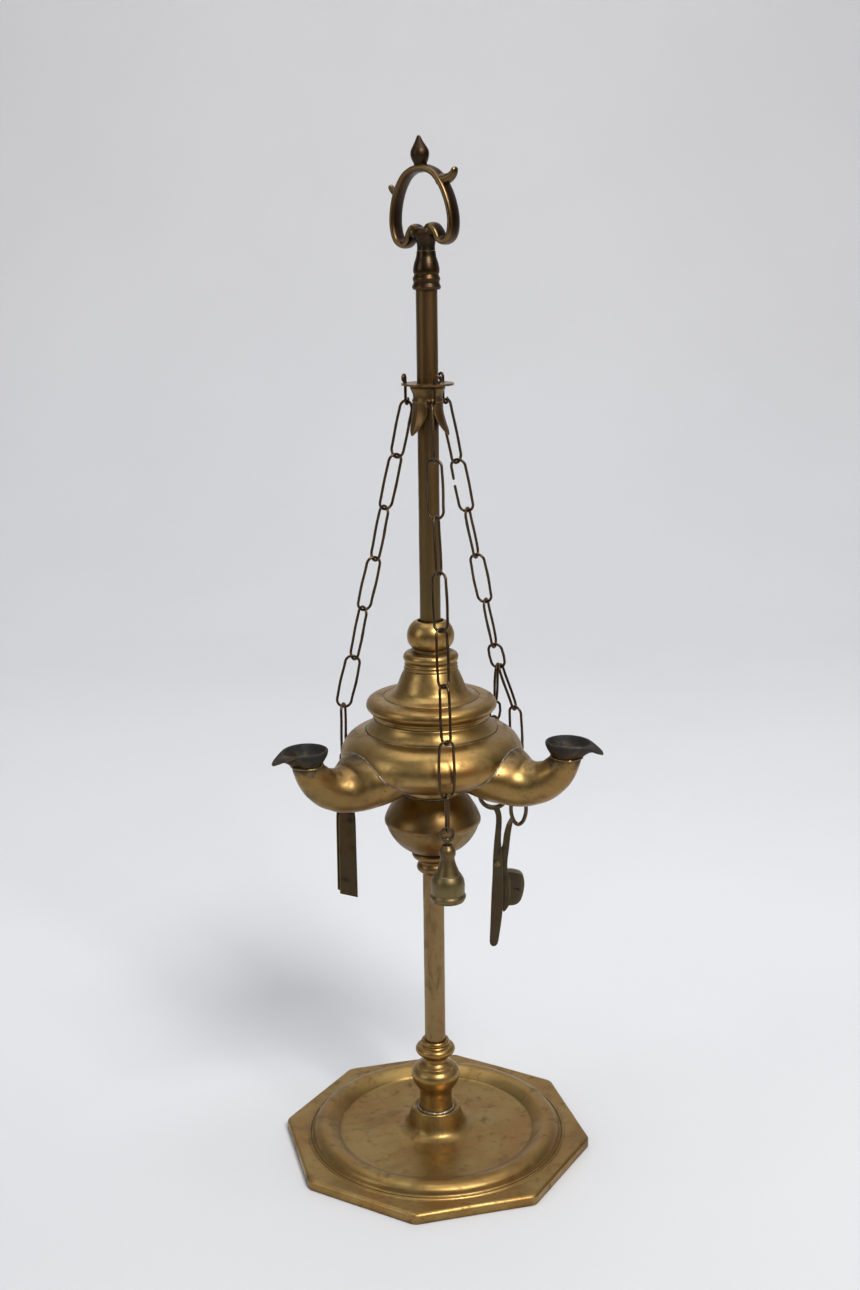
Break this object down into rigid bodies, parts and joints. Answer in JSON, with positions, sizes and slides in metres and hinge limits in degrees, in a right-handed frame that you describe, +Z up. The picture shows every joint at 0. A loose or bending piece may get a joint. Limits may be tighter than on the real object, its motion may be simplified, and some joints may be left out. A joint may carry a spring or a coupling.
{
  "type": "oil lamp",
  "caption": "Free-standing table oil lamp with an octagonal foot, a pole with a carrying loop, an oil font with beaked wick spouts, a sliding lid, and tools hung on chains.",
  "frame": {"origin": "centre of the pole on the floor plane under the foot", "axes": "+Z up along the pole, -Y towards the front chain, +X to the right seen from the front"},
  "size_m": [0.1775, 0.1872, 0.56],
  "materials": {
    "satin_brass": "satin, aged, with patina in the recesses",
    "pole_brass": "dull, dark patina with coppery wear",
    "knop_brass": "satin, warm reddish patina",
    "dark_bronze": "dark brown cast brass with worn golden edges",
    "chain_wire": "blackened drawn wire",
    "sooty_brass": "sooty, grey-green and black",
    "tool_brass": "dark olive patina",
    "nut_brass": "dull"
  },
  "bodies": {
    "stand": {"base_plate": "satin_brass", "base_nut": "nut_brass", "foot_knop": "satin_brass", "lower_stem": "pole_brass", "stem_collar": "knop_brass", "knop_lower_bowl": "knop_brass", "knop_upper_bowl": "knop_brass", "stem_coupling": "nut_brass", "upper_stem": "pole_brass", "handle_socket": "dark_bronze", "handle_loop": "dark_bronze", "handle_finial": "dark_bronze"},
    "font": {"font_body": "satin_brass", "font_sleeve": "nut_brass", "spouts": "satin_brass", "nozzles": "sooty_brass"},
    "lid": {"lid": "satin_brass", "lid_knob": "satin_brass"},
    "plate": {"chain_plate": "pole_brass", "leaf_collar": "pole_brass"},
    "hook_front": {"hook_front": "chain_wire"},
    "link_front_1": {"link_front_1": "chain_wire"},
    "link_front_2": {"link_front_2": "chain_wire"},
    "link_front_3": {"link_front_3": "chain_wire"},
    "link_front_4": {"link_front_4": "chain_wire"},
    "link_front_5": {"link_front_5": "chain_wire"},
    "link_front_6": {"link_front_6": "chain_wire"},
    "link_front_7": {"link_front_7": "chain_wire"},
    "link_front_8": {"link_front_8": "chain_wire"},
    "hook_left": {"hook_left": "chain_wire"},
    "link_left_1": {"link_left_1": "chain_wire"},
    "link_left_2": {"link_left_2": "chain_wire"},
    "link_left_3": {"link_left_3": "chain_wire"},
    "link_left_4": {"link_left_4": "chain_wire"},
    "link_left_5": {"link_left_5": "chain_wire"},
    "link_left_6": {"link_left_6": "chain_wire"},
    "link_left_7": {"link_left_7": "chain_wire"},
    "link_left_8": {"link_left_8": "chain_wire"},
    "hook_right": {"hook_right": "chain_wire"},
    "link_right_1": {"link_right_1": "chain_wire"},
    "link_right_2": {"link_right_2": "chain_wire"},
    "link_right_3": {"link_right_3": "chain_wire"},
    "link_right_4": {"link_right_4": "chain_wire"},
    "link_right_5": {"link_right_5": "chain_wire"},
    "link_right_6": {"link_right_6": "chain_wire"},
    "link_right_7a": {"link_right_7a": "chain_wire"},
    "link_right_8a": {"link_right_8a": "chain_wire"},
    "link_right_9a": {"link_right_9a": "chain_wire"},
    "link_right_7b": {"link_right_7b": "chain_wire"},
    "link_right_8b": {"link_right_8b": "chain_wire"},
    "link_right_9b": {"link_right_9b": "chain_wire"},
    "snuffer": {"snuffer_loop": "chain_wire", "snuffer_bell": "tool_brass"},
    "tweezer_ring": {"tweezer_ring": "chain_wire"},
    "tweezers": {"tweezer_rear_blade": "dark_bronze"},
    "tweezer_front": {"tweezer_front_blade": "dark_bronze"},
    "trimmer": {"trimmer_long_blade": "tool_brass", "trimmer_pivot": "tool_brass"},
    "trimmer_box": {"trimmer_box_blade": "tool_brass"}
  },
  "joints": [
    {"name": "font_turn", "type": "hinge", "parent": "stand", "child": "font", "pos_m": [0, 0, 0.2134], "axis": [0, 0, 1], "continuous": true},
    {"name": "lid_lift", "type": "slide", "parent": "font", "child": "lid", "axis": [0, 0, 1], "range_m": [0, 0.044]},
    {"name": "plate_turn", "type": "hinge", "parent": "stand", "child": "plate", "pos_m": [0, 0, 0.4357], "axis": [0, 0, 1], "continuous": true},
    {"name": "hook_front_swing", "type": "hinge", "parent": "plate", "child": "hook_front", "pos_m": [0.00352, -0.01142, 0.4362], "axis": [-0.9903, -0.1392, 0], "range_deg": [0, 12]},
    {"name": "link_front_1_swing", "type": "hinge", "parent": "hook_front", "child": "link_front_1", "pos_m": [0.00164, -0.01168, 0.4256], "axis": [-0.9903, -0.1392, 0], "range_deg": [0, 10]},
    {"name": "link_front_2_swing", "type": "hinge", "parent": "link_front_1", "child": "link_front_2", "pos_m": [0.0026, -0.01852, 0.39743], "axis": [0.0816, -0.9679, 0.2376], "range_deg": [-2, 3]},
    {"name": "link_front_3_swing", "type": "hinge", "parent": "link_front_2", "child": "link_front_3", "pos_m": [0.00356, -0.02535, 0.36927], "axis": [-0.9924, 0.1076, -0.0599], "range_deg": [0, 8]},
    {"name": "link_front_4_swing", "type": "hinge", "parent": "link_front_3", "child": "link_front_4", "pos_m": [0.00452, -0.03218, 0.3411], "axis": [-0.3403, -0.9164, 0.2107], "range_deg": [0, 6]},
    {"name": "link_front_5_swing", "type": "hinge", "parent": "link_front_4", "child": "link_front_5", "pos_m": [0.00548, -0.03902, 0.31293], "axis": [-0.8619, 0.4852, -0.1471], "range_deg": [0, 8]},
    {"name": "link_front_6_swing", "type": "hinge", "parent": "link_front_5", "child": "link_front_6", "pos_m": [0.00644, -0.04585, 0.28476], "axis": [-0.6948, -0.704, 0.1471], "range_deg": [0, 8]},
    {"name": "link_front_7_swing", "type": "hinge", "parent": "link_front_6", "child": "link_front_7", "pos_m": [0.0074, -0.05268, 0.2566], "axis": [-0.5797, 0.7871, -0.2107], "range_deg": [0, 6]},
    {"name": "link_front_8_swing", "type": "hinge", "parent": "link_front_7", "child": "link_front_8", "pos_m": [0.0074, -0.05268, 0.2276], "axis": [-0.9205, -0.3907, 0], "range_deg": [0, 8]},
    {"name": "hook_left_swing", "type": "hinge", "parent": "plate", "child": "hook_left", "pos_m": [-0.01165, 0.00266, 0.4362], "axis": [0.3746, 0.9272, 0], "range_deg": [0, 12]},
    {"name": "link_left_1_swing", "type": "hinge", "parent": "hook_left", "child": "link_left_1", "pos_m": [-0.01094, 0.00442, 0.4256], "axis": [0.3746, 0.9272, 0], "range_deg": [0, 10]},
    {"name": "link_left_2_swing", "type": "hinge", "parent": "link_left_1", "child": "link_left_2", "pos_m": [-0.01734, 0.007, 0.39743], "axis": [-0.6752, 0.7047, 0.218], "range_deg": [0, 6]},
    {"name": "link_left_3_swing", "type": "hinge", "parent": "link_left_2", "child": "link_left_3", "pos_m": [-0.02374, 0.00959, 0.36927], "axis": [0.7973, 0.5901, -0.1269], "range_deg": [0, 8]},
    {"name": "link_left_4_swing", "type": "hinge", "parent": "link_left_3", "child": "link_left_4", "pos_m": [-0.03013, 0.01218, 0.3411], "axis": [-0.5404, 0.8178, 0.1978], "range_deg": [0, 6]},
    {"name": "link_left_5_swing", "type": "hinge", "parent": "link_left_4", "child": "link_left_5", "pos_m": [-0.03653, 0.01476, 0.31293], "axis": [0.8593, 0.4889, -0.1503], "range_deg": [0, 8]},
    {"name": "link_left_6_swing", "type": "hinge", "parent": "link_left_5", "child": "link_left_6", "pos_m": [-0.04293, 0.01734, 0.28476], "axis": [-0.5115, 0.8374, 0.193], "range_deg": [0, 6]},
    {"name": "link_left_7_swing", "type": "hinge", "parent": "link_left_6", "child": "link_left_7", "pos_m": [-0.04933, 0.01993, 0.2566], "axis": [0.974, 0.0733, -0.2145], "range_deg": [0, 6]},
    {"name": "link_left_8_swing", "type": "hinge", "parent": "link_left_7", "child": "link_left_8", "pos_m": [-0.04933, 0.01993, 0.2276], "axis": [0.2419, 0.9703, 0], "range_deg": [0, 8]},
    {"name": "hook_right_swing", "type": "hinge", "parent": "plate", "child": "hook_right", "pos_m": [0.00813, 0.00876, 0.4362], "axis": [0.6157, -0.788, 0], "range_deg": [0, 12]},
    {"name": "link_right_1_swing", "type": "hinge", "parent": "hook_right", "child": "link_right_1", "pos_m": [0.0093, 0.00726, 0.4256], "axis": [0.6157, -0.788, 0], "range_deg": [0, 10]},
    {"name": "link_right_2_swing", "type": "hinge", "parent": "link_right_1", "child": "link_right_2", "pos_m": [0.01549, 0.0121, 0.39355], "axis": [-0.6161, -0.7526, -0.2324], "range_deg": [0, 4]},
    {"name": "link_right_3_swing", "type": "hinge", "parent": "link_right_2", "child": "link_right_3", "pos_m": [0.0207, 0.01617, 0.36655], "axis": [0.9234, -0.3634, 0.1234], "range_deg": [0, 8]},
    {"name": "link_right_4_swing", "type": "hinge", "parent": "link_right_3", "child": "link_right_4", "pos_m": [0.02572, 0.0201, 0.34052], "axis": [-0.3106, -0.9292, -0.2001], "range_deg": [0, 6]},
    {"name": "link_right_5_swing", "type": "hinge", "parent": "link_right_4", "child": "link_right_5", "pos_m": [0.03075, 0.02402, 0.31449], "axis": [0.9234, -0.3634, 0.1234], "range_deg": [0, 8]},
    {"name": "link_right_6_swing", "type": "hinge", "parent": "link_right_5", "child": "link_right_6", "pos_m": [0.03587, 0.02802, 0.28797], "axis": [-0.3106, -0.9292, -0.2001], "range_deg": [0, 6]},
    {"name": "link_right_7a_swing", "type": "hinge", "parent": "link_right_6", "child": "link_right_7a", "pos_m": [0.0383, 0.02993, 0.27534], "axis": [0.9234, -0.3634, 0.1234], "range_deg": [0, 6]},
    {"name": "link_right_8a_swing", "type": "hinge", "parent": "link_right_7a", "child": "link_right_8a", "pos_m": [0.0365, 0.0388, 0.2515], "axis": [-0.2818, -0.9079, -0.3105], "range_deg": [0, 3]},
    {"name": "link_right_9a_swing", "type": "hinge", "parent": "link_right_8a", "child": "link_right_9a", "pos_m": [0.0362, 0.0389, 0.2425], "axis": [0.9994, 0.0004, -0.0333], "range_deg": [0, 5]},
    {"name": "link_right_7b_swing", "type": "hinge", "parent": "link_right_6", "child": "link_right_7b", "pos_m": [0.0383, 0.02993, 0.27534], "axis": [0.9234, -0.3634, 0.1234], "range_deg": [0, 6]},
    {"name": "link_right_8b_swing", "type": "hinge", "parent": "link_right_7b", "child": "link_right_8b", "pos_m": [0.0473, 0.0276, 0.2515], "axis": [-0.3314, -0.9429, -0.0332], "range_deg": [0, 3]},
    {"name": "link_right_9b_swing", "type": "hinge", "parent": "link_right_8b", "child": "link_right_9b", "pos_m": [0.0486, 0.031, 0.2246], "axis": [0.7689, -0.6379, -0.0435], "range_deg": [0, 5]},
    {"name": "snuffer_swing", "type": "hinge", "parent": "link_front_8", "child": "snuffer", "pos_m": [0.0074, -0.05268, 0.209], "axis": [-0.1908, 0.9816, 0], "range_deg": [-12, 12]},
    {"name": "tweezer_ring_swing", "type": "hinge", "parent": "link_left_8", "child": "tweezer_ring", "pos_m": [-0.04933, 0.01993, 0.211], "axis": [0.7431, -0.6691, 0], "range_deg": [-8, 8]},
    {"name": "tweezers_swing", "type": "hinge", "parent": "tweezer_ring", "child": "tweezers", "pos_m": [-0.04933, 0.01993, 0.20385], "axis": [0.9397, 0.342, 0], "range_deg": [0, 15]},
    {"name": "tweezers_squeeze", "type": "hinge", "parent": "tweezers", "child": "tweezer_front", "pos_m": [-0.04854, 0.01777, 0.2034], "axis": [0.9397, 0.342, 0], "range_deg": [0, 3]},
    {"name": "trimmer_swing", "type": "hinge", "parent": "link_right_9a", "child": "trimmer", "pos_m": [0.0353, 0.035, 0.2038], "axis": [0.533, -0.843, 0.0726], "range_deg": [0, 8]},
    {"name": "trimmer_open", "type": "hinge", "parent": "trimmer", "child": "trimmer_box", "pos_m": [0.0373, 0.035, 0.1562], "axis": [0, 1, 0], "range_deg": [0, 35]}
  ],
  "couplings": [
    {"joint": "plate_turn", "follows": "font_turn", "ratio": 1},
    {"joint": "link_right_7b_swing", "follows": "link_right_7a_swing", "ratio": 1}
  ]
}
